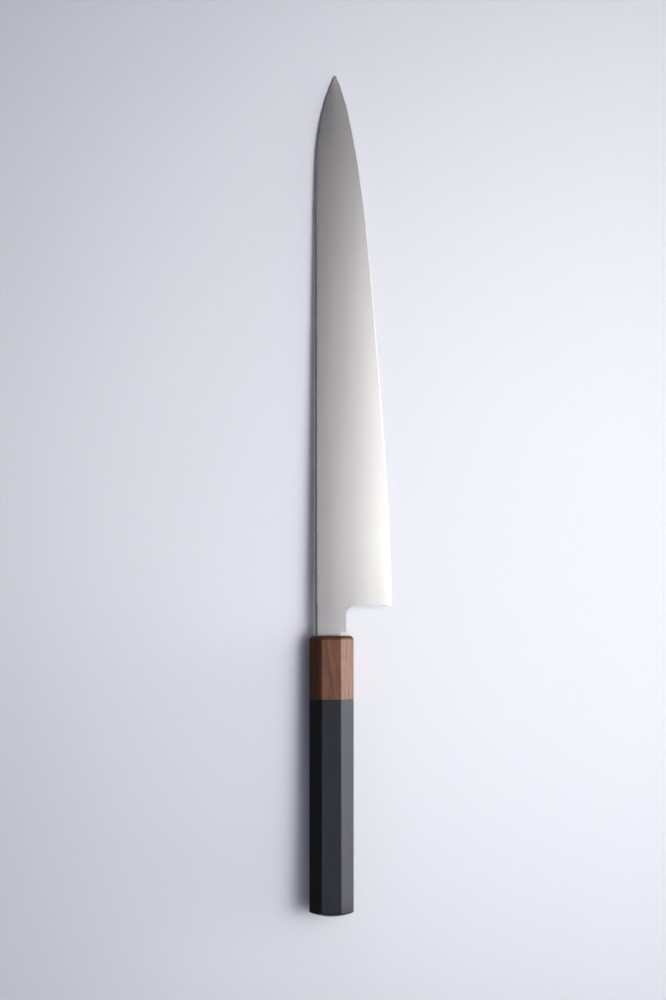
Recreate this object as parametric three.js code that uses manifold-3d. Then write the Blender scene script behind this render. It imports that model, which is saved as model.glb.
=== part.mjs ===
// Sujihiki: a long, slim slicing knife with an octagonal wooden handle.
//
// Knife frame, used while the pieces are shaped (millimetres):
//   +Y runs along the handle axis towards the tip, Y = 0 is the front face of the ferrule
//   +X runs from the spine towards the cutting edge, X = 0 is the handle axis
//   +Z is normal to the blade's flat, Z = 0 is the blade's middle plane
// The finished knife then lies on its side the way it rests on a table: it touches the
// table with the front of the ferrule and with the tip, so the whole knife is pitched a
// little tip-down. The origin is the middle of the bottom of the bounding box.

import * as THREE from 'three';
import { mergeVertices } from 'three/addons/utils/BufferGeometryUtils.js';
import Module from 'manifold-3d';

const wasm = await Module();
wasm.setup();

// ---------------------------------------------------------------- driving dimensions
// blade
const BLADE_LENGTH = 270.7;        // heel corner to tip
const HEEL_Y = 15.4;               // heel wall, ahead of the ferrule
const TIP_Y = HEEL_Y + BLADE_LENGTH;
const TIP_X = 1.85;
const SPINE_HALF_AT_HEEL = 1.30;   // half thickness of the spine at the heel
const DISTAL_TAPER = 0.0029;       // loss of half thickness per mm towards the tip
const FLAT_TAPER = 0.012;          // loss of half thickness per mm from spine to edge
const SPINE_X_REF = -9.0;          // where the flat's thickness is measured
const FLAT_SHARE = 0.42;           // share of the height, from the spine, that is flat
const SPINE_ROUND = 1.35;          // reach of the crowned spine across the flat
const EDGE_SHOULDER_HEEL = 0.20;   // half thickness behind the edge bevel at the heel
const EDGE_SHOULDER_TIP = 0.13;    // the same near the tip
const BEVEL_HEEL = 1.15;           // width of the edge bevel at the heel
const BEVEL_TIP = 0.75;            // the same near the tip
const EDGE_HALF = 0.015;           // half thickness of the cutting edge itself

// outline, [Y, X] pairs
const SPINE_LINE = [
  [-4, -9.0], [30, -8.98], [70, -8.9], [120, -8.75], [170, -8.62], [200, -8.56], [222, -8.48],
  [237, -8.28], [244, -8.06], [250, -7.7], [256, -7.0], [262, -6.02], [268, -4.78], [272.7, -3.6],
  [277, -2.28], [281, -0.82], [283.7, 0.28], [285.2, 1.08], [TIP_Y, TIP_X],
];
const EDGE_LINE = [
  [-4, 30.6], [HEEL_Y, 30.48], [32, 30.08], [48, 29.5], [68, 28.5], [90, 27.18], [109, 25.9],
  [130, 24.38], [150, 22.8], [170, 21.1], [190, 19.35], [206.7, 17.8], [223, 15.95], [240, 13.6],
  [252, 11.5], [262, 9.5], [270, 7.75], [277, 5.65], [282, 3.98], [284.2, 2.92], [285.4, 2.42], [TIP_Y, TIP_X],
];

// heel, choil, neck and machi
const CHOIL_R = 5.4;               // radius between heel wall and neck
const NECK_X = 7.5;                // edge side of the neck
const MACHI_Y = 1.95;              // step where the neck drops to the tang
const TANG_MOUTH_X = 4.95;         // edge side of the tang at the ferrule

// tang inside the handle: [Y, X towards spine, X towards edge, half thickness]
const TANG = [
  [-1.0, -8.70, 4.70, 1.22],
  [-2.4, -8.60, 4.68, 1.21],
  [-8.0, -4.75, 4.45, 1.18],
  [-98.0, -2.45, 2.45, 0.85],
];

// handle
const FERRULE_LENGTH = 32.0;
const HANDLE_LENGTH = 141.95;      // ferrule front to butt
const GLUE_GAP = 0.10;             // glue line between ferrule and handle body
const HALF_WIDTH_FRONT = 11.22;    // across X
const HALF_WIDTH_BUTT = 11.20;
const HALF_THICK_FRONT = 9.20;     // across Z
const HALF_THICK_BUTT = 9.60;
const FACET_HALF_FRONT = 4.89;     // half width of the top and bottom facets
const FACET_HALF_BUTT = 5.11;
const FERRULE_ROUND = 1.5;         // radius that rounds the ferrule's front edge
const BUTT_RADIUS = 28.0;          // radius of the domed butt
const BUTT_MEAN_R = 10.6;          // mean radius of the octagon at the butt
const BUTT_EDGE = 0.6;             // softened edge of the butt

// inside the handle
const MOUTH = { x0: -9.30, x1: 5.25, half: 1.80 };   // slot through the ferrule's front wall
const WEB = 9.0;                   // thickness of the ferrule's front wall
const BORE_R = 6.5;                // bore for the slotted dowel
const BORE_END = 104.3;            // depth of the bore from the ferrule's front face
const DOWEL_R = 6.2;
const DOWEL_FRONT = WEB + 0.4;
const DOWEL_BACK = BORE_END - 0.3;
const DOWEL_SLOT_HALF = 2.5;       // half of the slot's width
const DOWEL_SLOT_END = 100.4;      // the slot stops before the dowel's end
const BED_HALF = 2.2;              // half thickness of the bedding in the slot
const BED_X = 5.4;                 // half width of the bedding
const BED_FRONT = DOWEL_FRONT + 0.3;
const BED_BACK = DOWEL_SLOT_END - 0.4;
const BED_CLEAR = 0.18;            // film between tang and bedding

// ---------------------------------------------------------------- small helpers
const lerp = (a, b, t) => a + (b - a) * t;
const clamp01 = (t) => Math.min(1, Math.max(0, t));

// monotone cubic through [Y, X] pairs: smooth outlines with no overshoot
function outline(points) {
  const n = points.length;
  const d = [];
  for (let i = 0; i < n - 1; i++) {
    d.push((points[i + 1][1] - points[i][1]) / (points[i + 1][0] - points[i][0]));
  }
  const m = [d[0]];
  for (let i = 1; i < n - 1; i++) m.push(d[i - 1] * d[i] <= 0 ? 0 : (d[i - 1] + d[i]) / 2);
  m.push(d[n - 2]);
  for (let i = 0; i < n - 1; i++) {
    if (d[i] === 0) { m[i] = 0; m[i + 1] = 0; continue; }
    const a = m[i] / d[i];
    const b = m[i + 1] / d[i];
    const s = a * a + b * b;
    if (s > 9) {
      const t = 3 / Math.sqrt(s);
      m[i] = t * a * d[i];
      m[i + 1] = t * b * d[i];
    }
  }
  return (y) => {
    let i = 0;
    while (i < n - 2 && y > points[i + 1][0]) i++;
    const h = points[i + 1][0] - points[i][0];
    const t = clamp01((y - points[i][0]) / h);
    const t2 = t * t;
    const t3 = t2 * t;
    return (2 * t3 - 3 * t2 + 1) * points[i][1] + (t3 - 2 * t2 + t) * h * m[i]
      + (-2 * t3 + 3 * t2) * points[i + 1][1] + (t3 - t2) * h * m[i + 1];
  };
}

// a closed skin over rings that each lie in a plane Y = constant; an apex closes a point
function loft(rings, apex = null) {
  const n = rings[0].length;
  const pos = [];
  const idx = [];
  for (const ring of rings) for (const p of ring) pos.push(p.x, p.y, p.z);
  for (let r = 0; r < rings.length - 1; r++) {
    for (let i = 0; i < n; i++) {
      const j = (i + 1) % n;
      const a = r * n + i;
      const b = r * n + j;
      const c = (r + 1) * n + j;
      const e = (r + 1) * n + i;
      idx.push(a, b, c, a, c, e);
    }
  }
  // a cap runs with its ring's own order, or against it
  const cap = (r, along) => {
    const flat = rings[r].map((p) => new THREE.Vector2(p.x, p.z));
    const area = THREE.ShapeUtils.area(flat);
    for (const [a, b, c] of THREE.ShapeUtils.triangulateShape(flat, [])) {
      const same = THREE.ShapeUtils.area([flat[a], flat[b], flat[c]]) * area > 0;
      if (same === along) idx.push(r * n + a, r * n + b, r * n + c);
      else idx.push(r * n + a, r * n + c, r * n + b);
    }
  };
  cap(0, false);
  if (apex) {
    const k = pos.length / 3;
    pos.push(apex.x, apex.y, apex.z);
    const r = rings.length - 1;
    for (let i = 0; i < n; i++) idx.push(r * n + i, r * n + ((i + 1) % n), k);
  } else {
    cap(rings.length - 1, true);
  }
  const g = new THREE.BufferGeometry();
  g.setAttribute('position', new THREE.Float32BufferAttribute(pos, 3));
  g.setIndex(idx);
  return outward(g);
}

// turns every face over if the enclosed volume comes out negative
function outward(g) {
  const p = g.getAttribute('position');
  const ix = g.getIndex();
  let v = 0;
  const a = new THREE.Vector3();
  const b = new THREE.Vector3();
  const c = new THREE.Vector3();
  for (let i = 0; i < ix.count; i += 3) {
    a.fromBufferAttribute(p, ix.getX(i));
    b.fromBufferAttribute(p, ix.getX(i + 1));
    c.fromBufferAttribute(p, ix.getX(i + 2));
    v += a.dot(b.cross(c));
  }
  if (v < 0) {
    for (let i = 0; i < ix.count; i += 3) {
      const t = ix.getX(i + 1);
      ix.setX(i + 1, ix.getX(i + 2));
      ix.setX(i + 2, t);
    }
  }
  return g;
}

function solid(geometry) {
  let g = geometry.clone();
  g.deleteAttribute('normal');
  g.deleteAttribute('uv');
  g = mergeVertices(g, 1e-5);
  return new wasm.Manifold(new wasm.Mesh({
    numProp: 3,
    vertProperties: new Float32Array(g.getAttribute('position').array),
    triVerts: new Uint32Array(g.getIndex().array),
  }));
}

function shell(manifold) {
  const m = manifold.getMesh();
  const g = new THREE.BufferGeometry();
  g.setAttribute('position', new THREE.Float32BufferAttribute(m.vertProperties, 3));
  g.setIndex(Array.from(m.triVerts));
  g.computeVertexNormals();
  return g;
}

function box(x0, x1, y0, y1, z0, z1) {
  const g = new THREE.BoxGeometry(x1 - x0, y1 - y0, z1 - z0);
  g.translate((x0 + x1) / 2, (y0 + y1) / 2, (z0 + z1) / 2);
  return g;
}

// round bar along Y
function bar(r, y0, y1, sides) {
  const g = new THREE.CylinderGeometry(r, r, y1 - y0, sides);
  g.translate(0, (y0 + y1) / 2, 0);
  return g;
}

// ---------------------------------------------------------------- blade
const spineX = outline(SPINE_LINE);
const edgeX = outline(EDGE_LINE);

// half thickness of the blade's flat, a true plane on each side
function flatHalf(x, y) {
  return SPINE_HALF_AT_HEEL - DISTAL_TAPER * (y - HEEL_Y) - FLAT_TAPER * (x - SPINE_X_REF);
}

// one cross-section of the blade: upper side from spine to edge, then back underneath
function bladeRing(y, rounds, convexes) {
  const xs = spineX(y);
  const xe = edgeX(y);
  const height = xe - xs;
  const along = clamp01((y - HEEL_Y) / BLADE_LENGTH);
  const thin = Math.min(1, (0.15 + 0.055 * height) / flatHalf(xs, y));   // point of the blade
  const bevel = Math.min(lerp(BEVEL_HEEL, BEVEL_TIP, along), 0.22 * height);
  const reach = Math.min(SPINE_ROUND, 0.16 * height);
  const x1 = xs + Math.max(FLAT_SHARE * height, reach * 1.05);
  const x2 = xe - bevel;
  const h1 = flatHalf(x1, y) * thin;
  const shoulder = Math.min(lerp(EDGE_SHOULDER_HEEL, EDGE_SHOULDER_TIP, along), 0.6 * h1);
  const k = (h1 - FLAT_TAPER * thin * (x2 - x1) - shoulder) / ((x2 - x1) ** 2);
  const upper = [];
  for (let i = 1; i <= rounds; i++) {
    const a = (i / rounds) * Math.PI / 2;
    const x = xs + reach * (1 - Math.cos(a));
    upper.push([x, flatHalf(xs + reach, y) * thin * Math.sin(a)]);
  }
  upper.push([x1, h1]);
  for (let i = 1; i <= convexes; i++) {
    const x = lerp(x1, x2, (i / convexes) ** 0.9);
    upper.push([x, h1 - FLAT_TAPER * thin * (x - x1) - k * (x - x1) ** 2]);
  }
  upper.push([xe, Math.min(EDGE_HALF, shoulder * 0.5)]);
  const ring = [new THREE.Vector3(xs, y, 0)];
  for (const [x, h] of upper) ring.push(new THREE.Vector3(x, y, h));
  for (const [x, h] of upper.slice().reverse()) ring.push(new THREE.Vector3(x, y, -h));
  return ring;
}

const bladeStations = [
  -2.2, 8, HEEL_Y, 24, 36, 50, 66, 84, 102, 120, 138, 156, 174, 190, 205, 218, 229, 238, 245, 251,
  256.5, 261.5, 266, 270, 273.6, 276.8, 279.4, 281.5, 283.2, 284.6, 285.6,
];
const bladeBlank = loft(
  bladeStations.map((y) => bladeRing(y, 5, 7)),
  new THREE.Vector3(TIP_X, TIP_Y, 0),
);

// everything that is cut away behind the heel: heel wall, choil curve, neck and machi step
const notch = new THREE.Shape();
notch.moveTo(60, HEEL_Y);
notch.lineTo(NECK_X + CHOIL_R, HEEL_Y);
notch.absarc(NECK_X + CHOIL_R, HEEL_Y - CHOIL_R, CHOIL_R, Math.PI / 2, Math.PI, false);
notch.lineTo(NECK_X, MACHI_Y);
notch.lineTo(TANG_MOUTH_X, MACHI_Y);
notch.lineTo(TANG_MOUTH_X, -20);
notch.lineTo(60, -20);
notch.closePath();
const notchCut = new THREE.ExtrudeGeometry(notch, { depth: 12, bevelEnabled: false, curveSegments: 14 });
notchCut.translate(0, 0, -6);

const tangBar = loft(TANG.map(([y, x0, x1, h]) => {
  const c = 0.25;   // softened corners of the tang
  return [
    [x0 + c, h], [x1 - c, h], [x1, h - c], [x1, -h + c], [x1 - c, -h], [x0 + c, -h], [x0, -h + c], [x0, h - c],
  ].map(([x, z]) => new THREE.Vector3(x, y, z));
}));

const bladeGeometry = shell(solid(bladeBlank).subtract(solid(notchCut)).add(solid(tangBar)));

// ---------------------------------------------------------------- octagonal handle
// ring of the octagon at depth s behind the ferrule's front face, drawn in by inset
function octagon(s, inset = 0, y = -s) {
  const t = s / HANDLE_LENGTH;
  const a = lerp(HALF_WIDTH_FRONT, HALF_WIDTH_BUTT, t);
  const b = lerp(HALF_THICK_FRONT, HALF_THICK_BUTT, t);
  const f = lerp(FACET_HALF_FRONT, FACET_HALF_BUTT, t);
  const slope = b + f;                       // the 45 degree facets lie on x + z = slope
  const A = a - inset;
  const B = b - inset;
  const S = slope - inset * Math.SQRT2;
  return [
    [S - B, B], [A, S - A], [A, A - S], [S - B, -B], [B - S, -B], [-A, A - S], [-A, S - A], [B - S, B],
  ].map(([x, z]) => new THREE.Vector3(x, y, z));
}

const frontEdge = [0, 30, 60, 90].map((deg) => {
  const a = deg * Math.PI / 180;
  return octagon(FERRULE_ROUND, FERRULE_ROUND * (1 - Math.sin(a)), -FERRULE_ROUND * (1 - Math.cos(a)));
});
const ferruleBlank = loft([...frontEdge, octagon(FERRULE_LENGTH)]);
const mouthSlot = box(MOUTH.x0, MOUTH.x1, -WEB - 1, 1, -MOUTH.half, MOUTH.half);
const ferruleBore = bar(BORE_R, -FERRULE_LENGTH - 2, -WEB, 40);
const ferruleGeometry = shell(solid(ferruleBlank).subtract(solid(mouthSlot)).subtract(solid(ferruleBore)));

const bodyFront = FERRULE_LENGTH + GLUE_GAP;
const domeDepth = (inset) => HANDLE_LENGTH - (BUTT_MEAN_R - inset) ** 2 / (2 * BUTT_RADIUS);
const rim = domeDepth(BUTT_EDGE);
const bodyBlank = loft([
  octagon(bodyFront),
  octagon(rim - BUTT_EDGE),
  octagon(rim, BUTT_EDGE * 0.3, -(rim - BUTT_EDGE * 0.4)),
  ...[BUTT_EDGE, 3.0, 5.6, 8.2].map((inset) => octagon(rim, inset, -domeDepth(inset))),
]);
const bodyBore = bar(BORE_R, -BORE_END, -bodyFront + 2, 40);
const bodyGeometry = shell(solid(bodyBlank).subtract(solid(bodyBore)));

// ---------------------------------------------------------------- inside the handle
// hardwood dowel, sawn down its length so that the tang slides into the saw slot
const dowelBlank = bar(DOWEL_R, -DOWEL_BACK, -DOWEL_FRONT, 40);
const dowelSlot = box(-10, 10, -DOWEL_SLOT_END, 0, -DOWEL_SLOT_HALF, DOWEL_SLOT_HALF);
const dowelGeometry = shell(solid(dowelBlank).subtract(solid(dowelSlot)));

// cured bedding that fills the saw slot round the tang
const tangAt = (depth) => {
  const [y0, a0, b0, h0] = TANG[2];
  const [y1, a1, b1, h1] = TANG[3];
  const t = (-depth - y0) / (y1 - y0);
  return [lerp(a0, a1, t), lerp(b0, b1, t), lerp(h0, h1, t)];
};
const bedBlank = box(-BED_X, BED_X, -BED_BACK, -BED_FRONT, -BED_HALF, BED_HALF);
const pocketEnd = -TANG[3][0] + 0.3;
const bedPocket = loft([BED_FRONT - 1, pocketEnd].map((depth) => {
  const [x0, x1, h] = tangAt(depth);
  const c = BED_CLEAR;
  return [[x0 - c, h + c], [x1 + c, h + c], [x1 + c, -h - c], [x0 - c, -h - c]]
    .map(([x, z]) => new THREE.Vector3(x, -depth, z));
}));
const bedGeometry = shell(solid(bedBlank).subtract(solid(bedPocket)));

// ---------------------------------------------------------------- assembly
const steel = new THREE.MeshStandardMaterial({ color: 0xbdbcbf, roughness: 0.34, metalness: 1.0 });
const walnut = new THREE.MeshStandardMaterial({ color: 0x6a4430, roughness: 0.5, metalness: 0.0 });
const blackwood = new THREE.MeshStandardMaterial({ color: 0x17181b, roughness: 0.48, metalness: 0.0 });
const beech = new THREE.MeshStandardMaterial({ color: 0xc39a68, roughness: 0.65, metalness: 0.0 });
const resin = new THREE.MeshStandardMaterial({ color: 0xd3c49a, roughness: 0.3, metalness: 0.0 });

const knife = new THREE.Group();
function piece(name, geometry, material) {
  const mesh = new THREE.Mesh(geometry, material);
  mesh.name = name;
  knife.add(mesh);
  return mesh;
}
const blade = piece('blade', bladeGeometry, steel);
const ferrule = piece('ferrule', ferruleGeometry, walnut);
piece('handle_body', bodyGeometry, blackwood);
piece('tang_dowel', dowelGeometry, beech);
piece('tang_bedding', bedGeometry, resin);

// Resting pose: the ferrule's lower front edge touches the table first, then the knife
// pitches forward until the first point of the blade touches too.
const contact = new THREE.Vector3();
{
  const p = ferrule.geometry.getAttribute('position');
  let best = Infinity;
  for (let i = 0; i < p.count; i++) {
    const height = p.getZ(i) - 0.03 * p.getY(i);
    if (p.getY(i) > -5 && height < best) { best = height; contact.fromBufferAttribute(p, i); }
  }
}
let pitch = Infinity;
{
  const p = blade.geometry.getAttribute('position');
  for (let i = 0; i < p.count; i++) {
    const dy = p.getY(i) - contact.y;
    if (dy > 20) pitch = Math.min(pitch, Math.atan2(p.getZ(i) - contact.z, dy));
  }
}
knife.rotation.x = -pitch;
knife.updateMatrixWorld(true);

const bounds = new THREE.Box3().setFromObject(knife, true);
knife.position.set(
  -(bounds.min.x + bounds.max.x) / 2,
  -(bounds.min.y + bounds.max.y) / 2,
  -bounds.min.z,
);

const root = new THREE.Group();
root.add(knife);
root.updateMatrixWorld(true);

export default root;
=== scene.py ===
import math

import bmesh
import bpy
import numpy as np
from mathutils import Matrix, Vector
from mathutils.geometry import delaunay_2d_cdt


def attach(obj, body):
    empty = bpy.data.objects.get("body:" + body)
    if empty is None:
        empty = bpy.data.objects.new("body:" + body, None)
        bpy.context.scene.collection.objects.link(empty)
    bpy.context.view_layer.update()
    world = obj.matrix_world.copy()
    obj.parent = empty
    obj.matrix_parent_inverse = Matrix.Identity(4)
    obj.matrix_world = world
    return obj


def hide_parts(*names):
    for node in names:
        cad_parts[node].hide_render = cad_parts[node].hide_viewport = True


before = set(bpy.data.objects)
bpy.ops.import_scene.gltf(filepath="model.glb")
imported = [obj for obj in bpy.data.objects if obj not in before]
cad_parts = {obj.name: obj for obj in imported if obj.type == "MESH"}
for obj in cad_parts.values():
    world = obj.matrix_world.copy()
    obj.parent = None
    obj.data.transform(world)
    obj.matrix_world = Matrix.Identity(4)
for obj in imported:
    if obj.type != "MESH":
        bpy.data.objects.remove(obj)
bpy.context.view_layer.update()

# ------------------------------------------------------------------------------------------------
# The knife is shaped in its own frame, in millimetres: +Y to the tip (0 at the ferrule's front
# face), +X from spine to edge (0 on the handle axis), +Z up from the blade's middle plane (0).
# POSE carries that frame into the row frame, where the knife lies on its side on a table.
# ------------------------------------------------------------------------------------------------
PITCH = 0.031081308096
AT = (-9.630105, -72.069923, 9.153167)
POSE = Matrix.Translation(Vector(AT) * 0.001) @ Matrix.Rotation(-PITCH, 4, "X")

# blade
BLADE_LENGTH = 270.7
HEEL_Y = 15.4
TIP_Y = HEEL_Y + BLADE_LENGTH
TIP_X = 1.85
SPINE_HALF_AT_HEEL = 1.30
DISTAL_TAPER = 0.0029
FLAT_TAPER = 0.012
SPINE_X_REF = -9.0
TIP_TAPER = 0.52         # share of the thickness that is lost towards the tip, beyond the even taper
TIP_TAPER_FROM = 150.0
SIDE_SLOPE = 0.004       # each side leans in by this much at the spine, and more and more towards the edge
CURVE_FROM = 0.05        # share of the height at which that curve begins
SPINE_ROUND = 1.6        # reach of the crowned spine at the heel; it narrows where the blade gets thinner
SPINE_FADE = 0.9
EDGE_SHOULDER_HEEL, EDGE_SHOULDER_TIP = 0.19, 0.04
HEEL_STOUT = 0.18        # the shoulder is thicker by this much at the heel itself
BEVEL_HEEL, BEVEL_TIP = 0.95, 0.17
BEVEL_RUN = 125.0        # the bevel narrows from the heel over this length
SPINE_LINE = [
    (-4, -9.0), (30, -8.98), (70, -8.9), (120, -8.75), (170, -8.62), (200, -8.56), (222, -8.48),
    (237, -8.28), (244, -8.06), (250, -7.7), (256, -7.0), (262, -6.02), (268, -4.78), (272.7, -3.6),
    (277, -2.28), (281, -0.82), (283.7, 0.28), (285.2, 1.08), (TIP_Y, TIP_X),
]
EDGE_LINE = [
    (-4, 30.6), (HEEL_Y, 30.48), (32, 30.08), (48, 29.5), (68, 28.5), (90, 27.18), (109, 25.9),
    (130, 24.38), (150, 22.8), (170, 21.1), (190, 19.35), (206.7, 17.8), (223, 15.95), (240, 13.6),
    (252, 11.5), (262, 9.5), (270, 7.75), (277, 5.65), (282, 3.98), (284.2, 2.92), (285.4, 2.42),
    (TIP_Y, TIP_X),
]
CHOIL_R = 5.4
NECK_X = 7.5
MACHI_Y = 1.95
TANG_MOUTH_X = 4.95

# handle
FERRULE_LENGTH = 32.0
HANDLE_LENGTH = 141.95
HALF_WIDTH = (11.22, 11.20)
HALF_THICK = (9.20, 9.60)
FACET_HALF = (4.89, 5.11)
FERRULE_ROUND = 2.2
BUTT_RADIUS = 28.0
BUTT_EDGE = 0.6
CORNER_R = 0.55
WEB = 9.0
BORE_R = 6.5
BORE_END = 104.3
DOWEL_R = 6.2
DOWEL_FRONT, DOWEL_BACK = 9.4, 104.0
DOWEL_SLOT_HALF, DOWEL_SLOT_END = 2.5, 100.4


def lerp(a, b, t):
    return a + (b - a) * t


def clamp01(t):
    return min(1.0, max(0.0, t))


def smooth(t):
    t = clamp01(t)
    return t * t * (3 - 2 * t)


def outline(points):
    """Monotone cubic through (y, x) pairs."""
    n = len(points)
    d = [(points[i + 1][1] - points[i][1]) / (points[i + 1][0] - points[i][0]) for i in range(n - 1)]
    m = [d[0]] + [0.0 if d[i - 1] * d[i] <= 0 else (d[i - 1] + d[i]) / 2 for i in range(1, n - 1)] + [d[-1]]
    for i in range(n - 1):
        if d[i] == 0:
            m[i] = m[i + 1] = 0.0
            continue
        a, b = m[i] / d[i], m[i + 1] / d[i]
        s = a * a + b * b
        if s > 9:
            t = 3 / math.sqrt(s)
            m[i], m[i + 1] = t * a * d[i], t * b * d[i]

    def at(y):
        i = 0
        while i < n - 2 and y > points[i + 1][0]:
            i += 1
        h = points[i + 1][0] - points[i][0]
        t = clamp01((y - points[i][0]) / h)
        t2, t3 = t * t, t * t * t
        return ((2 * t3 - 3 * t2 + 1) * points[i][1] + (t3 - 2 * t2 + t) * h * m[i]
                + (-2 * t3 + 3 * t2) * points[i + 1][1] + (t3 - t2) * h * m[i + 1])

    return at


spine_x = outline(SPINE_LINE)
edge_x = outline(EDGE_LINE)


def flat_half(x, y):
    return SPINE_HALF_AT_HEEL - DISTAL_TAPER * (y - HEEL_Y) - FLAT_TAPER * (x - SPINE_X_REF)


class Section:
    """The blade's cross-section at one place along its length."""

    def __init__(self, y):
        self.y, self.xs, self.xe = y, spine_x(y), edge_x(y)
        self.height = max(self.xe - self.xs, 1e-4)
        near_heel = clamp01(1 - (y - HEEL_Y) / BEVEL_RUN) ** 1.6
        self.thin = 1 - TIP_TAPER * clamp01((y - TIP_TAPER_FROM) / (TIP_Y - TIP_TAPER_FROM)) ** 3
        self.thin = min(self.thin, (0.07 + 0.12 * self.height) / flat_half(self.xs, y))
        self.bevel = min(lerp(BEVEL_TIP, BEVEL_HEEL, near_heel), 0.22 * self.height)
        self.h0 = flat_half(self.xs, y) * self.thin
        self.reach = min(SPINE_ROUND * (self.h0 / SPINE_HALF_AT_HEEL) ** SPINE_FADE, 0.16 * self.height)
        self.x1 = self.xs + max(CURVE_FROM * self.height, self.reach * 1.05)
        self.x2 = self.xe - self.bevel
        self.slope = SIDE_SLOPE * self.thin
        self.h1 = self.h0 - self.slope * (self.x1 - self.xs)
        stout = HEEL_STOUT * clamp01(1 - (y - HEEL_Y) / 38.0) ** 1.5
        self.shoulder = min(lerp(EDGE_SHOULDER_TIP, EDGE_SHOULDER_HEEL, near_heel) + stout, 0.6 * self.h1)
        run = max(self.x2 - self.x1, 1e-4)
        self.k = (self.h1 - self.slope * run - self.shoulder) / (run * run)

    def plain(self, x):
        """Half thickness without the crowned spine."""
        if x <= self.x1:
            return self.h0 - self.slope * (x - self.xs)
        if x <= self.x2:
            d = x - self.x1
            return self.h1 - self.slope * d - self.k * d * d
        return self.shoulder * max(0.0, (self.xe - x) / self.bevel)

    def crown(self, x):
        t = clamp01((x - self.xs) / self.reach)
        return math.sqrt(max(0.0, 1 - (1 - t) ** 2))

    def half(self, x):
        return self.plain(x) * self.crown(x)

    def columns(self, rounds, flats, convexes):
        """Places across the blade from the spine to the edge. The last three are the bevel's shoulder, middle and edge."""
        out = [self.xs + self.reach * (1 - math.cos(math.pi / 2 * i / rounds)) for i in range(rounds + 1)]
        out += [lerp(self.xs + self.reach, self.x1, i / flats) for i in range(1, flats + 1)]
        out += [lerp(self.x1, self.x2, (i / convexes) ** 0.9) for i in range(1, convexes + 1)]
        return out + [self.xe - self.bevel * 0.5, self.xe]


# ------------------------------------------------------------------------------------------------
# mesh helpers
# ------------------------------------------------------------------------------------------------
def finish_mesh(name, bm, pose=True):
    """A mesh object from a bmesh in millimetres."""
    bmesh.ops.recalc_face_normals(bm, faces=bm.faces)
    me = bpy.data.meshes.new(name)
    bm.to_mesh(me)
    bm.free()
    me.transform(Matrix.Scale(0.001, 4))
    ob = bpy.data.objects.new(name, me)
    bpy.context.scene.collection.objects.link(ob)
    if pose:
        me.transform(POSE)
    return ob


def cut(ob, cutter):
    """ob less cutter, as a plain mesh again."""
    mod = ob.modifiers.new("cut", "BOOLEAN")
    mod.operation, mod.solver, mod.object = "DIFFERENCE", "EXACT", cutter
    bpy.context.view_layer.update()
    dg = bpy.context.evaluated_depsgraph_get()
    me = bpy.data.meshes.new_from_object(ob.evaluated_get(dg))
    ob.modifiers.clear()
    old = ob.data
    ob.data = me
    me.name = old.name
    bpy.data.meshes.remove(old)
    gone = cutter.data
    bpy.data.objects.remove(cutter)
    bpy.data.meshes.remove(gone)


def shade(ob, degrees):
    for p in ob.data.polygons:
        p.use_smooth = True
    ob.data.set_sharp_from_angle(angle=math.radians(degrees))


def bridge(bm, a, b):
    n = len(a)
    for i in range(n):
        j = (i + 1) % n
        bm.faces.new((a[i], a[j], b[j], b[i]))


def fillet(points, closed=False):
    """A polyline with each corner rounded: points are (x, y, radius, width), where width is the reach of the rounded rim there."""
    out = []
    n = len(points)
    for i, (x, y, r, w) in enumerate(points):
        if (not closed and i in (0, n - 1)) or r <= 0:
            out.append((x, y, w))
            continue
        p = np.array(points[i - 1][:2]) - (x, y)
        q = np.array(points[(i + 1) % n][:2]) - (x, y)
        p, q = p / np.linalg.norm(p), q / np.linalg.norm(q)
        half = math.acos(max(-1, min(1, float(p @ q)))) / 2
        back = r / math.tan(half)
        mid = (p + q) / np.linalg.norm(p + q)
        centre = np.array((x, y)) + mid * (r / math.sin(half))
        a0 = math.atan2(*(np.array((x, y)) + p * back - centre)[::-1])
        a1 = math.atan2(*(np.array((x, y)) + q * back - centre)[::-1])
        turn = (a1 - a0 + math.pi) % (2 * math.pi) - math.pi
        steps = max(4, int(abs(turn) * r / 0.35) + 1)
        for k in range(steps + 1):
            a = a0 + turn * k / steps
            out.append((centre[0] + r * math.cos(a), centre[1] + r * math.sin(a), w))
    return out


# ------------------------------------------------------------------------------------------------
# blade: a loft from the tip back to JOIN_Y, then one triangulated field round heel, choil, neck,
# machi step and tang. Both sides meet on the outline, so the whole blade is one closed skin.
# ------------------------------------------------------------------------------------------------
JOIN_Y = 26.0
ROUNDS, FLATS, CONVEXES = 8, 2, 18

# outline behind the heel, from the heel corner round to the spine, with the reach of its rounded rim
edge_side = fillet([
    (edge_x(HEEL_Y), HEEL_Y, 0, 0.09),
    (24.0, HEEL_Y, 0, 0.06),
    (16.0, HEEL_Y, 0, 0.04),
    (NECK_X, HEEL_Y, CHOIL_R, 0.03),
    (NECK_X, MACHI_Y, 0.55, 0.03),
    (TANG_MOUTH_X, MACHI_Y, 0.45, 0.03),
    (4.85, -2.0, 2.0, 0.30),
    (4.45, -8.0, 3.0, 0.40),
    (2.45, -98.0, 1.2, 0.40),
    (0.0, -98.0, 0, 0.40),
])
spine_side = fillet([
    (0.0, -98.0, 0, 0.40),
    (-2.45, -98.0, 1.2, 0.40),
    (-4.75, -8.0, 2.0, 0.40),
    (-8.70, -2.4, 0.8, 0.45),
    (spine_x(-0.6), -0.6, 0, SPINE_ROUND),
])


def dense(path):
    """Short steps near the neck, long ones along the tang."""
    out = [path[0]]
    for p, q in zip(path, path[1:]):
        d = math.hypot(q[0] - p[0], q[1] - p[1])
        step = 0.6 if max(p[1], q[1]) > -3 else 4.0
        n = max(1, int(round(d / step)))
        out += [tuple(lerp(p[k], q[k], i / n) for k in range(3)) for i in range(1, n + 1)]
    return out


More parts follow.
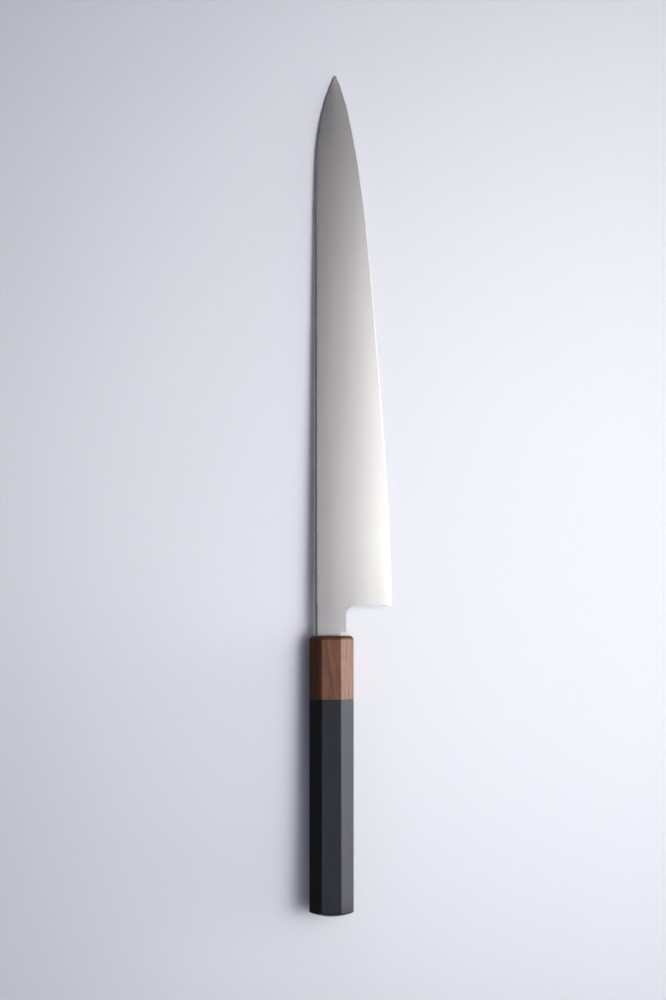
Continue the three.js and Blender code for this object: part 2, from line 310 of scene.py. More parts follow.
edge_side, spine_side = dense(edge_side), dense(spine_side)
rim_path = np.array(edge_side + spine_side[1:])
n_edge_side = len(edge_side)


def rim_distance(x, y):
    """(distance, reach) to the rounded rim behind the heel."""
    path = rim_path[:n_edge_side] if y >= -0.6 else rim_path
    p, q = path[:-1, :2], path[1:, :2]
    d = q - p
    t = np.clip(((x - p[:, 0]) * d[:, 0] + (y - p[:, 1]) * d[:, 1]) / (d ** 2).sum(1).clip(1e-12), 0, 1)
    near = p + d * t[:, None]
    dist = np.hypot(x - near[:, 0], y - near[:, 1])
    i = int(dist.argmin())
    return float(dist[i]), float(lerp(path[i, 2], path[i + 1, 2], t[i]))


def field_half(x, y):
    """Half thickness anywhere behind JOIN_Y."""
    sec = Section(max(y, 0.0))
    h = sec.plain(x)
    if y < 0:
        h = lerp(h, lerp(1.21, 0.85, clamp01((-y - 2.4) / 95.6)), smooth(-y / 2.4))
    if y >= -0.6:
        h *= sec.crown(x)
    dist, reach = rim_distance(x, y)
    if dist < reach:
        t = dist / reach
        h *= (1 - (1 - t) ** 2.3) ** (1 / 2.3)
    return h


def build_blade():
    bm = bmesh.new()
    # loft
    ys = list(np.arange(JOIN_Y, 236.0, 3.0)) + list(np.arange(236.0, 268.0, 1.6)) + list(np.arange(268.0, 281.0, 0.9))
    ys += [281.3, 282.0, 282.7, 283.3, 283.8, 284.25, 284.6, 284.95, 285.25, 285.5, 285.7, 285.85, 285.95, 286.03]
    rings = []
    for y in ys:
        sec = Section(float(y))
        cols = sec.columns(ROUNDS, FLATS, CONVEXES)
        top = [bm.verts.new((x, y, sec.half(x) if 0 < i < len(cols) - 1 else 0.0)) for i, x in enumerate(cols)]
        low = [bm.verts.new((v.co.x, y, -v.co.z)) for v in top[1:-1]]
        rings.append(top + low[::-1])
    for a, b in zip(rings, rings[1:]):
        bridge(bm, a, b)
    apex = bm.verts.new((TIP_X, TIP_Y, 0.0))
    last = rings[-1]
    for i in range(len(last)):
        bm.faces.new((last[i], last[(i + 1) % len(last)], apex))

    # field behind the loft
    pts, edges, index = [], [], {}

    def point(x, y):
        key = (round(x, 5), round(y, 5))
        if key not in index:
            index[key] = len(pts)
            pts.append(Vector((x, y)))
        return index[key]

    def line(path):
        ids = [point(p[0], p[1]) for p in path]
        edges.extend((a, b) for a, b in zip(ids, ids[1:]) if a != b)
        return ids

    join = Section(JOIN_Y)
    cols = join.columns(ROUNDS, FLATS, CONVEXES)
    front = [(x, JOIN_Y) for x in cols]
    edge_rows = list(np.linspace(JOIN_Y, HEEL_Y, 15))
    edge_line = [(edge_x(y), y) for y in edge_rows]
    spine_rows = list(np.linspace(-0.6, JOIN_Y, 28))
    spine_line = [(spine_x(y), y) for y in spine_rows]
    outer = front + edge_line[1:] + [tuple(p[:2]) for p in rim_path[1:]] + spine_line[1:]
    line(outer)
    ring_xy = np.array(outer[:-1])

    def inside(x, y):
        a, b = ring_xy, np.roll(ring_xy, -1, axis=0)
        hit = (a[:, 1] > y) != (b[:, 1] > y)
        with np.errstate(divide="ignore", invalid="ignore"):
            at = a[:, 0] + (y - a[:, 1]) / (b[:, 1] - a[:, 1]) * (b[:, 0] - a[:, 0])
        return int((hit & (x < at)).sum()) % 2 == 1

    # crowned spine, and the bevel's shoulder and middle
    for k in range(1, ROUNDS + 1):
        line([(Section(max(y, 0.0)).columns(ROUNDS, FLATS, CONVEXES)[k], y) for y in spine_rows[::-1]])
    for k in (-3, -2):
        line([(Section(y).columns(ROUNDS, FLATS, CONVEXES)[k], y) for y in edge_rows[:-1]])
    # rounded rim: lines at growing distance inside the outline
    tangent = np.gradient(rim_path[:, :2], axis=0)
    tangent /= np.linalg.norm(tangent, axis=1)[:, None]
    normal = np.stack([tangent[:, 1], -tangent[:, 0]], 1)   # into the steel
    probe = rim_path[40, :2] + normal[40] * 0.05
    if not inside(*probe):
        normal = -normal
    for k in range(1, 8):
        # the last two lie on the flat, just inside the rounding
        reach = rim_path[:, 2] * (1 - math.cos(math.pi / 2 * min(k, 5) / 5)) + (0.0, 0.06, 0.30)[max(0, k - 5)]
        off = rim_path[:, :2] + normal * reach[:, None]
        keep = [tuple(p) for i, p in enumerate(off) if inside(*p) and i < len(off) - 3]
        line(keep)
    # inner points
    for y in np.arange(JOIN_Y - 1.0, -97.0, -1.0):
        if y < -3 and round(y) % 5:
            continue
        sec = Section(max(float(y), 0.0))
        xs = sec.columns(ROUNDS, FLATS, CONVEXES)[ROUNDS + 1:-3] if y > -0.6 else [-3.5, -1.2, 1.2, 3.2]
        if y > -0.6 and y < HEEL_Y:
            xs = list(np.linspace(sec.xs + sec.reach + 0.8, NECK_X + 9, 18))
        for x in xs:
            if inside(x, y):
                dist, reach = rim_distance(x, y)
                if dist > reach + 0.55:
                    point(float(x), float(y))

    got = delaunay_2d_cdt(pts, edges, [], 1, 1e-6)
    xy, faces = got[0], got[2]
    top, low = [], []
    ring0 = rings[0]
    front_keys = {(round(x, 4), round(JOIN_Y, 4)): i for i, (x, _) in enumerate(front)}
    n_top = len(cols)
    for v in xy:
        key = (round(v.x, 4), round(v.y, 4))
        if key in front_keys:
            i = front_keys[key]
            top.append(ring0[i])
            low.append(ring0[i] if i in (0, n_top - 1) else ring0[2 * n_top - 2 - i])
        elif np.abs(ring_xy - (v.x, v.y)).sum(1).min() < 2e-4:
            b = bm.verts.new((v.x, v.y, 0.0))
            top.append(b)
            low.append(b)
        else:
            h = field_half(v.x, v.y)
            top.append(bm.verts.new((v.x, v.y, h)))
            low.append(bm.verts.new((v.x, v.y, -h)))
    for f in faces:
        for vs in ([top[i] for i in f], [low[i] for i in reversed(f)]):
            if len(set(vs)) == 3:
                bm.faces.new(vs)
    # hard lines: the arris round heel, choil and neck, the bevel's shoulder and the cutting edge
    bmesh.ops.recalc_face_normals(bm, faces=bm.faces)
    bm.edges.ensure_lookup_table()
    for e in bm.edges:
        a, b = e.verts
        low_y = min(a.co.y, b.co.y)
        if low_y < HEEL_Y + 0.5 and max(a.co.x, b.co.x) > 0 and len(e.link_faces) == 2 and e.calc_face_angle() > math.radians(35):
            e.smooth = False
        if low_y < HEEL_Y - 0.01:
            continue
        sa, sb = Section(a.co.y), Section(b.co.y)
        on_edge = abs(a.co.x - sa.xe) < 1e-3 and abs(b.co.x - sb.xe) < 1e-3
        on_shoulder = abs(a.co.x - sa.x2) < 1e-3 and abs(b.co.x - sb.x2) < 1e-3
        if on_edge or on_shoulder:
            e.smooth = False
    # the bevel has its own finish
    for f in bm.faces:
        c = f.calc_center_median()
        if c.y > HEEL_Y:
            f.material_index = 1 if c.x > Section(c.y).x2 + 0.01 else 0
        f.smooth = True
    return finish_mesh("blade_fine", bm)


# ------------------------------------------------------------------------------------------------
# handle: octagon rings with softened corners
# ------------------------------------------------------------------------------------------------
def octagon(s, inset=0.0):
    t = s / HANDLE_LENGTH
    a, b, f = lerp(*HALF_WIDTH, t), lerp(*HALF_THICK, t), lerp(*FACET_HALF, t)
    A, B, S = a - inset, b - inset, b + f - inset * math.sqrt(2)
    return [(S - B, B), (A, S - A), (A, A - S), (S - B, -B), (B - S, -B), (-A, A - S), (-A, S - A), (B - S, B)]


def soft_ring(s, inset=0.0, radius=CORNER_R, seg=5, along=5):
    """Octagon with rounded corners, with the same number of points at every place."""
    c = [np.array(p) for p in octagon(s, inset)]
    out = []
    for i in range(8):
        p, q, r = c[i - 1], c[i], c[(i + 1) % 8]
        d1, d2 = (p - q), (r - q)
        l1, l2 = np.linalg.norm(d1), np.linalg.norm(d2)
        d1, d2 = d1 / l1, d2 / l2
        t = min(radius * math.tan(math.pi / 8), 0.3 * min(l1, l2))
        rad = t / math.tan(math.pi / 8)
        mid = (d1 + d2) / np.linalg.norm(d1 + d2)
        centre = q + mid * (rad / math.cos(math.pi / 8))
        v0 = q + d1 * t - centre
        a0 = math.atan2(v0[1], v0[0])
        v1 = q + d2 * t - centre
        turn = (math.atan2(v1[1], v1[0]) - a0 + math.pi) % (2 * math.pi) - math.pi
        for k in range(seg + 1):
            a = a0 + turn * k / seg
            out.append(centre + rad * np.array((math.cos(a), math.sin(a))))
        # the flat up to the next corner, with a support point close to each end
        start = q + d2 * t
        l = l2 - t - min(radius * math.tan(math.pi / 8), 0.3 * l2)
        near = min(0.18, 0.1 * l)
        for u in [near] + [lerp(near, l - near, k / (along + 1)) for k in range(1, along + 1)] + [l - near]:
            out.append(start + d2 * u)
    return out


def ring_verts(bm, pts, y):
    return [bm.verts.new((p[0], y(p) if callable(y) else y, p[1])) for p in pts]


def cylinder(name, r, y0, y1, sides):
    bm = bmesh.new()
    rings = [[bm.verts.new((r * math.cos(2 * math.pi * k / sides), y, r * math.sin(2 * math.pi * k / sides)))
              for k in range(sides)] for y in (y0, y1)]
    bridge(bm, rings[0], rings[1])
    bm.faces.new(rings[0])
    bm.faces.new(rings[1])
    return finish_mesh(name, bm, pose=False)


def slot_cutter(name, x0, x1, half, y0, y1):
    """A slot with round ends along X, run along Y."""
    r = half
    pts = [(x1 - r + r * math.cos(a), r * math.sin(a)) for a in np.linspace(-math.pi / 2, math.pi / 2, 13)]
    pts += [(x0 + r + r * math.cos(a), r * math.sin(a)) for a in np.linspace(math.pi / 2, 3 * math.pi / 2, 13)]
    bm = bmesh.new()
    rings = [[bm.verts.new((p[0], y, p[1])) for p in pts] for y in (y0, y1)]
    bridge(bm, rings[0], rings[1])
    bm.faces.new(rings[0])
    bm.faces.new(rings[1])
    return finish_mesh(name, bm, pose=False)


def build_ferrule():
    bm = bmesh.new()
    rings = []
    for k in range(9):
        a = math.pi / 2 * k / 8
        rings.append(ring_verts(bm, soft_ring(FERRULE_ROUND, FERRULE_ROUND * (1 - math.sin(a))), -FERRULE_ROUND * (1 - math.cos(a))))
    for s in (2.45, 6.0, 12.0, 18.0, 24.0, FERRULE_LENGTH - 0.2, FERRULE_LENGTH + 0.01):
        rings.append(ring_verts(bm, soft_ring(s), -s))
    s = FERRULE_LENGTH + 0.03
    rings.append(ring_verts(bm, soft_ring(s, 0.03), -s))
    for a, b in zip(rings, rings[1:]):
        bridge(bm, a, b)
    bm.faces.new(rings[0])
    bm.faces.new(rings[-1])
    ob = finish_mesh("ferrule_fine", bm, pose=False)
    cut(ob, slot_cutter("mouth", -9.16, 5.12, 1.52, 2.0, -WEB - 0.5))
    cut(ob, cylinder("bore", BORE_R, -WEB, -FERRULE_LENGTH - 3, 96))
    ob.data.transform(POSE)
    shade(ob, 30)
    return ob


def dome(p):
    return -(HANDLE_LENGTH - (p[0] ** 2 + p[1] ** 2) / (2 * BUTT_RADIUS))


def build_body():
    bm = bmesh.new()
    rings = []
    s = FERRULE_LENGTH + 0.05
    rings.append(ring_verts(bm, soft_ring(s, 0.03), -s))
    for s in (FERRULE_LENGTH + 0.07, FERRULE_LENGTH + 0.3):
        rings.append(ring_verts(bm, soft_ring(s), -s))
    for s in np.linspace(44, 132, 9):
        rings.append(ring_verts(bm, soft_ring(float(s)), -float(s)))
    rim = HANDLE_LENGTH - 2.0
    for k in range(8):
        a = math.pi / 2 * k / 7
        rings.append(ring_verts(bm, soft_ring(rim, BUTT_EDGE * (1 - math.cos(a))),
                                lambda p, a=a: dome(p) + BUTT_EDGE * (1 - math.sin(a))))
    base = soft_ring(rim, BUTT_EDGE)
    for f in (0.965, 0.9, 0.8, 0.68, 0.55, 0.42, 0.3, 0.18, 0.08):
        rings.append(ring_verts(bm, [p * f for p in base], dome))
    for a, b in zip(rings, rings[1:]):
        bridge(bm, a, b)
    bm.faces.new(rings[0])
    top = bm.verts.new((0, -HANDLE_LENGTH, 0))
    last = rings[-1]
    for i in range(len(last)):
        bm.faces.new((last[i], last[(i + 1) % len(last)], top))
    ob = finish_mesh("handle_body_fine", bm, pose=False)
    cut(ob, cylinder("bore", BORE_R, -FERRULE_LENGTH + 3, -BORE_END, 96))
    ob.data.transform(POSE)
    shade(ob, 30)
    return ob


def build_dowel():
    bm = bmesh.new()
    sides = 96
    rings = []
    for s, r in ((DOWEL_FRONT, DOWEL_R - 0.5), (DOWEL_FRONT + 0.5, DOWEL_R), (DOWEL_FRONT + 1.0, DOWEL_R), (57.0, DOWEL_R),
                 (DOWEL_BACK - 1.0, DOWEL_R), (DOWEL_BACK - 0.5, DOWEL_R), (DOWEL_BACK, DOWEL_R - 0.5)):
        rings.append([bm.verts.new((r * math.cos(2 * math.pi * k / sides), -s, r * math.sin(2 * math.pi * k / sides))) for k in range(sides)])
    for a, b in zip(rings, rings[1:]):
        bridge(bm, a, b)
    bm.faces.new(rings[0])
    bm.faces.new(rings[-1])
    ob = finish_mesh("tang_dowel_fine", bm, pose=False)
    bm = bmesh.new()
    h = DOWEL_SLOT_HALF
    # the saw slot ends in the round of the blade's kerf
    pts = [(0.0, h), (0.0, -h)] + [(-DOWEL_SLOT_END + 0.8 - 0.8 * math.sin(a), -h * math.cos(a)) for a in np.linspace(0, math.pi, 9)]
    two = [[bm.verts.new((x, y, z)) for y, z in pts] for x in (-9.0, 9.0)]
    bridge(bm, two[0], two[1])
    bm.faces.new(two[0])
    bm.faces.new(two[1])
    cut(ob, finish_mesh("kerf", bm, pose=False))
    ob.data.transform(POSE)
    shade(ob, 30)
    return ob


# ------------------------------------------------------------------------------------------------
# materials
# ------------------------------------------------------------------------------------------------
class Tree:
    def __init__(self, name):
        self.mat = bpy.data.materials.new(name)
        self.mat.use_nodes = True
        self.nt = self.mat.node_tree
        self.nt.nodes.clear()
        self.out = self.add("ShaderNodeOutputMaterial")
        self.bsdf = self.add("ShaderNodeBsdfPrincipled")
        self.link(self.bsdf.outputs[0], self.out.inputs[0])
        # patterns follow the knife's own frame
        n = self.add("ShaderNodeMapping")
        self.link(self.add("ShaderNodeTexCoord").outputs["Object"], n.inputs["Vector"])
        back = POSE.inverted()
        n.inputs["Location"].default_value = back.to_translation()
        n.inputs["Rotation"].default_value = back.to_euler()
        self.coord = n.outputs[0]

    def add(self, kind, **values):
        n = self.nt.nodes.new(kind)
        for k, v in values.items():
            setattr(n, k, v)
        return n

    def link(self, a, b):
        self.nt.links.new(a, b)

    def set(self, **values):
        for k, v in values.items():
            self.bsdf.inputs[k.replace("_", " ")].default_value = v

    def stretch(self, x, y, z, source=None):
        """Coordinates measured in pattern cells: sizes of a cell in millimetres along each axis."""
        n = self.add("ShaderNodeMapping")
        n.inputs["Scale"].default_value = (1000 / x, 1000 / y, 1000 / z)
        self.link(source or self.coord, n.inputs["Vector"])
        return n.outputs[0]

    def lean(self, dx, dz):
        """Coordinates whose long direction leans by dx and dz per unit of length."""
        a = self.add("ShaderNodeSeparateXYZ")
        self.link(self.coord, a.inputs[0])
        b = self.add("ShaderNodeCombineXYZ")
        self.link(self.math("MULTIPLY_ADD", a.outputs[1], dx, a.outputs[0]), b.inputs[0])
        self.link(a.outputs[1], b.inputs[1])
        self.link(self.math("MULTIPLY_ADD", a.outputs[1], dz, a.outputs[2]), b.inputs[2])
        return b.outputs[0]

    def noise(self, vector, detail=3.0, rough=0.55, distortion=0.0):
        n = self.add("ShaderNodeTexNoise")
        n.inputs["Scale"].default_value = 1.0
        n.inputs["Detail"].default_value = detail
        n.inputs["Roughness"].default_value = rough
        n.inputs["Distortion"].default_value = distortion
        self.link(vector, n.inputs["Vector"])
        return n.outputs["Fac"]

    def math(self, op, a, b=None, c=None, clamp=False):
        n = self.add("ShaderNodeMath", operation=op, use_clamp=clamp)
        for i, v in enumerate((a, b, c)):
            if v is None:
                continue
            if hasattr(v, "is_linked"):
                self.link(v, n.inputs[i])
            else:
                n.inputs[i].default_value = v
        return n.outputs[0]

    def range(self, value, lo, hi, to_lo, to_hi):
        n = self.add("ShaderNodeMapRange", clamp=True)
        self.link(value, n.inputs[0])
        for i, v in enumerate((lo, hi, to_lo, to_hi)):
            n.inputs[i + 1].default_value = v
        return n.outputs[0]

    def ramp(self, value, *stops):
        n = self.add("ShaderNodeValToRGB")
        e = n.color_ramp.elements
        e[0].position, e[0].color = stops[0][0], (*stops[0][1], 1)
        e[1].position, e[1].color = stops[-1][0], (*stops[-1][1], 1)
        for at, col in stops[1:-1]:
            x = e.new(at)
            x.color = (*col, 1)
        self.link(value, n.inputs[0])
        return n.outputs[0]

    def mix(self, fac, a, b, blend="MIX"):
        n = self.add("ShaderNodeMix", data_type="RGBA", blend_type=blend)
        for sock, v in ((n.inputs["Factor"], fac), (n.inputs[6], a), (n.inputs[7], b)):
            if hasattr(v, "is_linked"):
                self.link(v, sock)
            else:
                sock.default_value = v if not isinstance(v, tuple) else (*v, 1)
        return n.outputs[2]

    def bump(self, height, strength, distance, normal=None):
        n = self.add("ShaderNodeBump")
        n.inputs["Strength"].default_value = strength
        n.inputs["Distance"].default_value = distance
        self.link(height, n.inputs["Height"])
        if normal is not None:
            self.link(normal, n.inputs["Normal"])
        self.link(n.outputs[0], self.bsdf.inputs["Normal"])
        return n.outputs[0]


def steel(name, rough, colour, hair):
    t = Tree(name)
    fine = t.noise(t.stretch(0.16, 60, 0.16), 4.0, 0.65)
    broad = t.noise(t.stretch(1.6, 140, 1.6), 3.0, 0.6)
    cloud = t.noise(t.stretch(28, 60, 28), 2.0, 0.5)
    streak = t.math("ADD", t.math("MULTIPLY", fine, 0.55), t.math("MULTIPLY", broad, 0.45))
    dark = tuple(c * 0.975 for c in colour)
    light = tuple(min(1, c * 1.025) for c in colour)
    t.link(t.mix(t.range(streak, 0.36, 0.64, 0, 1), dark, light), t.bsdf.inputs["Base Color"])
    r = t.math("ADD", t.range(streak, 0.3, 0.7, rough - 0.02, rough + 0.02), t.range(cloud, 0.3, 0.7, -0.012, 0.012))
    t.link(r, t.bsdf.inputs["Roughness"])
    t.set(Metallic=1.0)
    t.bump(fine, hair, 0.00002)
    return t.mat


def walnut():
    t = Tree("walnut")
    grain = t.lean(0.16, 0.05)
    # growth rings round a pith that lies well off the handle, so that they run nearly straight along it
    sep = t.add("ShaderNodeSeparateXYZ")
    t.link(grain, sep.inputs[0])
    wander = t.noise(t.stretch(8, 40, 8, grain), 2.0, 0.5)
    x = t.math("MULTIPLY_ADD", sep.outputs[0], 1000, 19.0)
    z = t.math("MULTIPLY_ADD", sep.outputs[2], 1000, -33.0)
    r = t.math("SQRT", t.math("ADD", t.math("MULTIPLY", x, x), t.math("MULTIPLY", z, z)))
    r = t.math("ADD", r, t.math("MULTIPLY", wander, 4.0))
    rings = t.math("POWER", t.math("FRACT", t.math("DIVIDE", r, 3.1)), 1.5)
    fibre = t.noise(t.stretch(0.38, 11, 0.38, grain), 4.0, 0.6)
    # the front face and its round-over are darker: partly end grain that takes more oil, partly painted shade where the
    # front faces away from the light
    place = t.add("ShaderNodeSeparateXYZ")
    t.link(t.coord, place.inputs[0])
    front = t.range(place.outputs[1], -0.0022, -0.0013, 0.0, 0.55)
    band = t.noise(t.stretch(2.3, 42, 2.3, grain), 3.0, 0.55)
    tone = t.math("ADD", t.math("MULTIPLY", rings, 0.13), t.math("ADD", t.math("MULTIPLY", fibre, 0.40), t.math("MULTIPLY", band, 0.55)))
    colour = t.ramp(tone, (0.36, (0.220, 0.101, 0.066)), (0.50, (0.172, 0.075, 0.048)), (0.62, (0.131, 0.054, 0.034)), (0.78, (0.090, 0.036, 0.022)))
    pores = t.noise(t.stretch(0.22, 3.4, 0.22, grain), 1.5, 0.5)
    pore = t.range(pores, 0.64, 0.72, 0, 1)
    colour = t.mix(t.math("MULTIPLY", pore, 0.45), colour, (0.040, 0.016, 0.010))
    # painted shade: the left facets, on the side away from the light, are darkened towards dark brown
    painted_left_shade = t.range(t.math("ADD", place.outputs[0], t.math("MULTIPLY", band, 0.004)), -0.0050, -0.0020, 0.86, 0.0)
    colour = t.mix(painted_left_shade, colour, (0.050, 0.018, 0.006))
    # painted shade on the front face and round-over, together with the darker end grain
    colour = t.mix(front, colour, (0.030, 0.012, 0.008))
    t.link(colour, t.bsdf.inputs["Base Color"])
    t.link(t.math("ADD", t.range(fibre, 0.3, 0.7, 0.35, 0.40), t.math("MULTIPLY", pore, 0.10)), t.bsdf.inputs["Roughness"])
    height = t.math("SUBTRACT", t.math("MULTIPLY", fibre, 0.35), pore)
    t.bump(height, 0.18, 0.00005)
    t.bsdf.inputs["Specular IOR Level"].default_value = 0.34
    return t.mat


def blackwood():
    t = Tree("blackwood")
    fibre = t.noise(t.stretch(0.26, 14, 0.26), 4.0, 0.6)
    band = t.noise(t.stretch(2.4, 95, 2.4), 3.0, 0.55)
    tone = t.math("ADD", t.math("MULTIPLY", fibre, 0.45), t.math("MULTIPLY", band, 0.55))
    colour = t.ramp(tone, (0.34, (0.0126, 0.0129, 0.0161)), (0.52, (0.0172, 0.0175, 0.0221)), (0.68, (0.0236, 0.0235, 0.0288)))
    pores = t.noise(t.stretch(0.15, 3.2, 0.15), 1.5, 0.5)
    pore = t.range(pores, 0.64, 0.71, 0, 1)
    colour = t.mix(t.math("MULTIPLY", pore, 0.6), colour, (0.006, 0.006, 0.0075))
    # painted shade: the spine side, turned away from the light, is darker still
    place = t.add("ShaderNodeSeparateXYZ")
    t.link(t.coord, place.inputs[0])
    painted_left_shade = t.range(t.math("ADD", place.outputs[0], t.math("MULTIPLY", band, 0.003)), -0.0050, -0.0022, 0.90, 0.0)
    colour = t.mix(painted_left_shade, colour, (0.0022, 0.0022, 0.0024))
    t.link(colour, t.bsdf.inputs["Base Color"])
    t.link(t.math("ADD", t.range(fibre, 0.3, 0.7, 0.36, 0.42), t.math("MULTIPLY", pore, 0.12)), t.bsdf.inputs["Roughness"])
    t.bump(t.math("SUBTRACT", t.math("MULTIPLY", fibre, 0.35), pore), 0.16, 0.00004)
    t.bsdf.inputs["Specular IOR Level"].default_value = 0.36
    t.bsdf.inputs["Specular Tint"].default_value = (0.87, 0.88, 1.0, 1)
    return t.mat


def beech():
    t = Tree("beech")
    fibre = t.noise(t.stretch(0.3, 10, 0.3), 4.0, 0.6)
    band = t.noise(t.stretch(2.2, 70, 2.2), 2.0, 0.5)
    tone = t.math("ADD", t.math("MULTIPLY", fibre, 0.5), t.math("MULTIPLY", band, 0.5))
    colour = t.ramp(tone, (0.34, (0.46, 0.29, 0.16)), (0.52, (0.58, 0.39, 0.22)), (0.68, (0.66, 0.47, 0.29)))
    fleck = t.range(t.noise(t.stretch(0.35, 1.6, 0.12), 1.0, 0.5), 0.64, 0.70, 0, 1)
    colour = t.mix(t.math("MULTIPLY", fleck, 0.5), colour, (0.36, 0.20, 0.10))
    t.link(colour, t.bsdf.inputs["Base Color"])
    t.link(t.range(fibre, 0.3, 0.7, 0.6, 0.72), t.bsdf.inputs["Roughness"])
    t.bump(t.math("SUBTRACT", fibre, fleck), 0.2, 0.00006)
    return t.mat


def resin():
    t = Tree("resin")
    cloud = t.noise(t.stretch(6, 14, 6), 3.0, 0.55)
    colour = t.ramp(cloud, (0.35, (0.60, 0.48, 0.27)), (0.65, (0.72, 0.62, 0.40)))
    speck = t.range(t.noise(t.stretch(0.5, 0.5, 0.5), 1.0, 0.5), 0.68, 0.74, 0, 1)
    t.link(t.mix(t.math("MULTIPLY", speck, 0.5), colour, (0.82, 0.76, 0.6)), t.bsdf.inputs["Base Color"])
    t.link(t.range(cloud, 0.3, 0.7, 0.24, 0.36), t.bsdf.inputs["Roughness"])
    t.bump(cloud, 0.2, 0.0001)
    return t.mat


# ------------------------------------------------------------------------------------------------
# pieces
# ------------------------------------------------------------------------------------------------
STEEL = (0.606, 0.592, 0.601)
flat_steel = steel("steel_satin", 0.225, STEEL, 0.06)
bevel_steel = steel("steel_bevel", 0.46, (0.59, 0.580, 0.590), 0.04)

blade = build_blade()
blade.data.materials.append(flat_steel)
blade.data.materials.append(bevel_steel)
ferrule = build_ferrule()
ferrule.data.materials.clear()
ferrule.data.materials.append(walnut())
body = build_body()
body.data.materials.clear()
body.data.materials.append(blackwood())
dowel = build_dowel()
dowel.data.materials.clear()
dowel.data.materials.append(beech())

for piece, node, slot in ((blade, "blade", "blade_steel"), (ferrule, "ferrule", "ferrule_walnut"),
                          (body, "handle_body", "handle_blackwood"), (dowel, "tang_dowel", "dowel_beech")):
    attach(piece, "root")
    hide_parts(node)

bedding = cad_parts["tang_bedding"]
bedding_resin = resin()
if bedding.material_slots:
    for s in bedding.material_slots:
        s.material = bedding_resin
else:
    bedding.data.materials.append(bedding_resin)

# ------------------------------------------------------------------------------------------------
# stage: pale floor, one large soft window light from the right, dim surroundings
# ------------------------------------------------------------------------------------------------
floor_mesh = bpy.data.meshes.new("floor")
half = 6.0
floor_mesh.from_pydata([(-half, -half, 0), (half, -half, 0), (half, half, 0), (-half, half, 0)], [], [(0, 1, 2, 3)])
floor = bpy.data.objects.new("floor", floor_mesh)
bpy.context.scene.collection.objects.link(floor)
floor.location.z = -0.0002
fl = Tree("floor_pale")
tone = fl.noise(fl.stretch(260, 260, 260), 2.0, 0.5)
fl.link(fl.ramp(tone, (0.3, (0.772, 0.778, 0.857)), (0.7, (0.792, 0.797, 0.873))), fl.bsdf.inputs["Base Color"])
fl.set(Roughness=0.8, Specular_IOR_Level=0.15)
floor_mesh.materials.append(fl.mat)


def area(name, at, to, size_x, size_y, watts, colour):
    data = bpy.data.lights.new(name, "AREA")
    data.shape, data.size, data.size_y = "RECTANGLE", size_x, size_y
    data.energy, data.color = watts, colour
    ob = bpy.data.objects.new(name, data)
    bpy.context.scene.collection.objects.link(ob)
    ob.location = at
    ob.rotation_mode = "QUATERNION"
    ob.rotation_quaternion = (Vector(to) - Vector(at)).to_track_quat("-Z", "Y")
    ob.visible_camera = False
    return ob


def softbox(name, azimuth, elevation, width, height, watts, colour, distance=1.05, spread=180.0):
    """A panel that faces the knife; azimuth 0 is +X, 90 is +Y."""
    a, e = math.radians(azimuth), math.radians(elevation)
    at = (distance * math.cos(e) * math.cos(a), distance * math.cos(e) * math.sin(a), distance * math.sin(e))
    ob = area(name, at, (0, 0, 0), width, height, watts, colour)
    ob.data.spread = math.radians(spread)
    return ob


WINDOW, LOW, SIDE, END, WHITE = (1.0, 0.998, 0.915), (1.0, 0.98, 0.82), (0.905, 0.920, 1.0), (0.87, 0.91, 1.0), (1.0, 1.0, 1.0)
softbox("window", -3, 51.5, 0.50, 0.42, 1.05, WINDOW, distance=0.60)
softbox("window_middle", -3, 52.5, 0.50, 0.40, 0.116, WINDOW, spread=40)
softbox("window_top", -3, 66.5, 0.60, 0.35, 0.214, WINDOW, spread=40)
softbox("window_side", -29, 59.5, 0.90, 0.60, 1.80, SIDE)
softbox("window_end", -60, 70, 0.50, 0.25, 0.92, END)
softbox("window_low", -3, 22, 0.70, 0.25, 0.80, LOW, distance=0.80)
softbox("window_sill", -2, 11, 2.00, 0.571, 12.0, LOW, distance=3.0)
softbox("window_foot", 5, 3.5, 2.00, 0.343, 47.0, WHITE, distance=3.0)

# dim surroundings, brighter overhead on the window's side
world = bpy.data.worlds.new("studio")
world.use_nodes = True
bpy.context.scene.world = world
wn = world.node_tree
wn.nodes.clear()
direction = wn.nodes.new("ShaderNodeTexCoord").outputs["Generated"]


def world_math(op, a, b=None):
    n = wn.nodes.new("ShaderNodeMath")
    n.operation = op
    for i, v in enumerate((a, b)):
        if v is None:
            continue
        if hasattr(v, "is_linked"):
            wn.links.new(v, n.inputs[i])
        else:
            n.inputs[i].default_value = v
    return n.outputs[0]


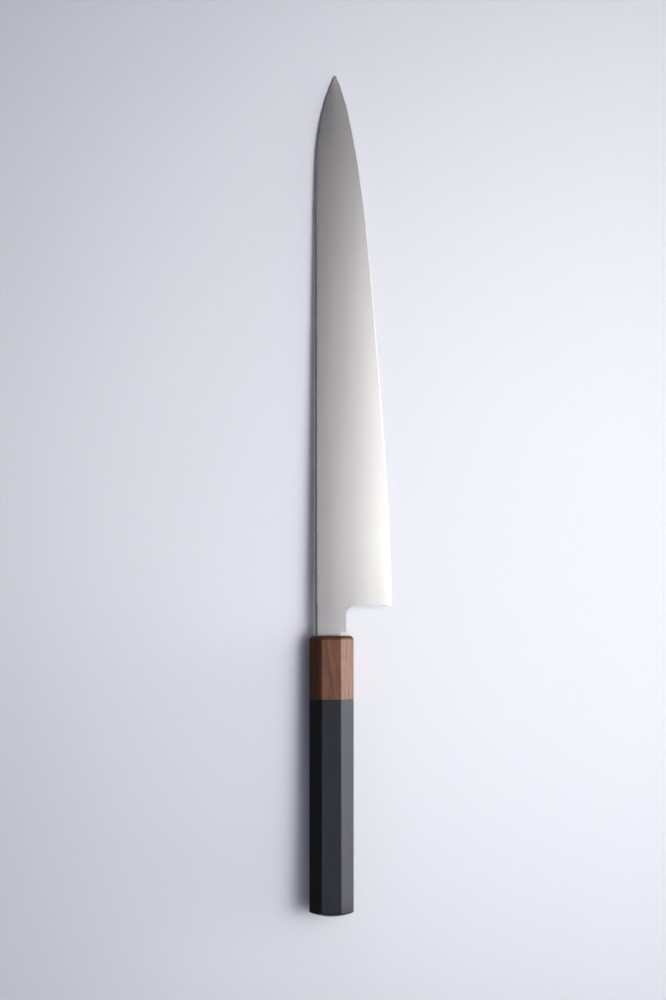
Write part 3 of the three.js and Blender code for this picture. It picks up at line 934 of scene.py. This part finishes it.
def glow(azimuth, elevation, width, strength):
    """A soft round glow on the surroundings."""
    a, e = math.radians(azimuth), math.radians(elevation)
    dot = wn.nodes.new("ShaderNodeVectorMath")
    dot.operation = "DOT_PRODUCT"
    wn.links.new(direction, dot.inputs[0])
    dot.inputs[1].default_value = (math.cos(e) * math.cos(a), math.cos(e) * math.sin(a), math.sin(e))
    t = world_math("DIVIDE", world_math("ARCCOSINE", world_math("MINIMUM", dot.outputs["Value"], 0.99999)), math.radians(width))
    return world_math("MULTIPLY", world_math("EXPONENT", world_math("MULTIPLY", world_math("MULTIPLY", t, t), -1.0)), strength)


OVERHEAD = [(19.8, 78.3, 7, 1.47), (-33.2, 68.8, 7, 0.68), (47.6, 73.9, 7, 0.13), (38.6, 83.6, 7, 0.32)]
AROUND = [(180, 46, 24, 0.32), (270, 40, 24, 0.08), (90, 20, 28, 0.50)]
sky = wn.nodes.new("ShaderNodeAddShader")
for i, (glows, base, colour) in enumerate(((OVERHEAD, 0.005, (1.0, 0.985, 0.99)), (AROUND, 0.005, (0.82, 0.82, 1.03)))):
    light = base
    for g in glows:
        light = world_math("ADD", glow(*g), light)
    bg = wn.nodes.new("ShaderNodeBackground")
    bg.inputs[0].default_value = (*colour, 1)
    wn.links.new(light, bg.inputs[1])
    wn.links.new(bg.outputs[0], sky.inputs[i])
wn.links.new(sky.outputs[0], wn.nodes.new("ShaderNodeOutputWorld").inputs[0])

# ------------------------------------------------------------------------------------------------
# camera: straight down, tip at the top of the picture
# ------------------------------------------------------------------------------------------------
HEIGHT = 1.400
SPAN = 1000 * 0.51151e-3      # height of the picture on the table
cam_data = bpy.data.cameras.new("camera")
cam_data.sensor_width = 36.0
cam_data.lens = 18.0 / (SPAN / 2 / HEIGHT)
cam_data.clip_start, cam_data.clip_end = 0.01, 50.0
cam = bpy.data.objects.new("camera", cam_data)
bpy.context.scene.collection.objects.link(cam)
cam.location = (-0.00885, -0.003100, HEIGHT)
bpy.context.scene.camera = cam

bpy.context.scene.view_settings.view_transform = "Standard"
bpy.context.scene.view_settings.look = "Medium High Contrast"

bpy.context.view_layer.update()
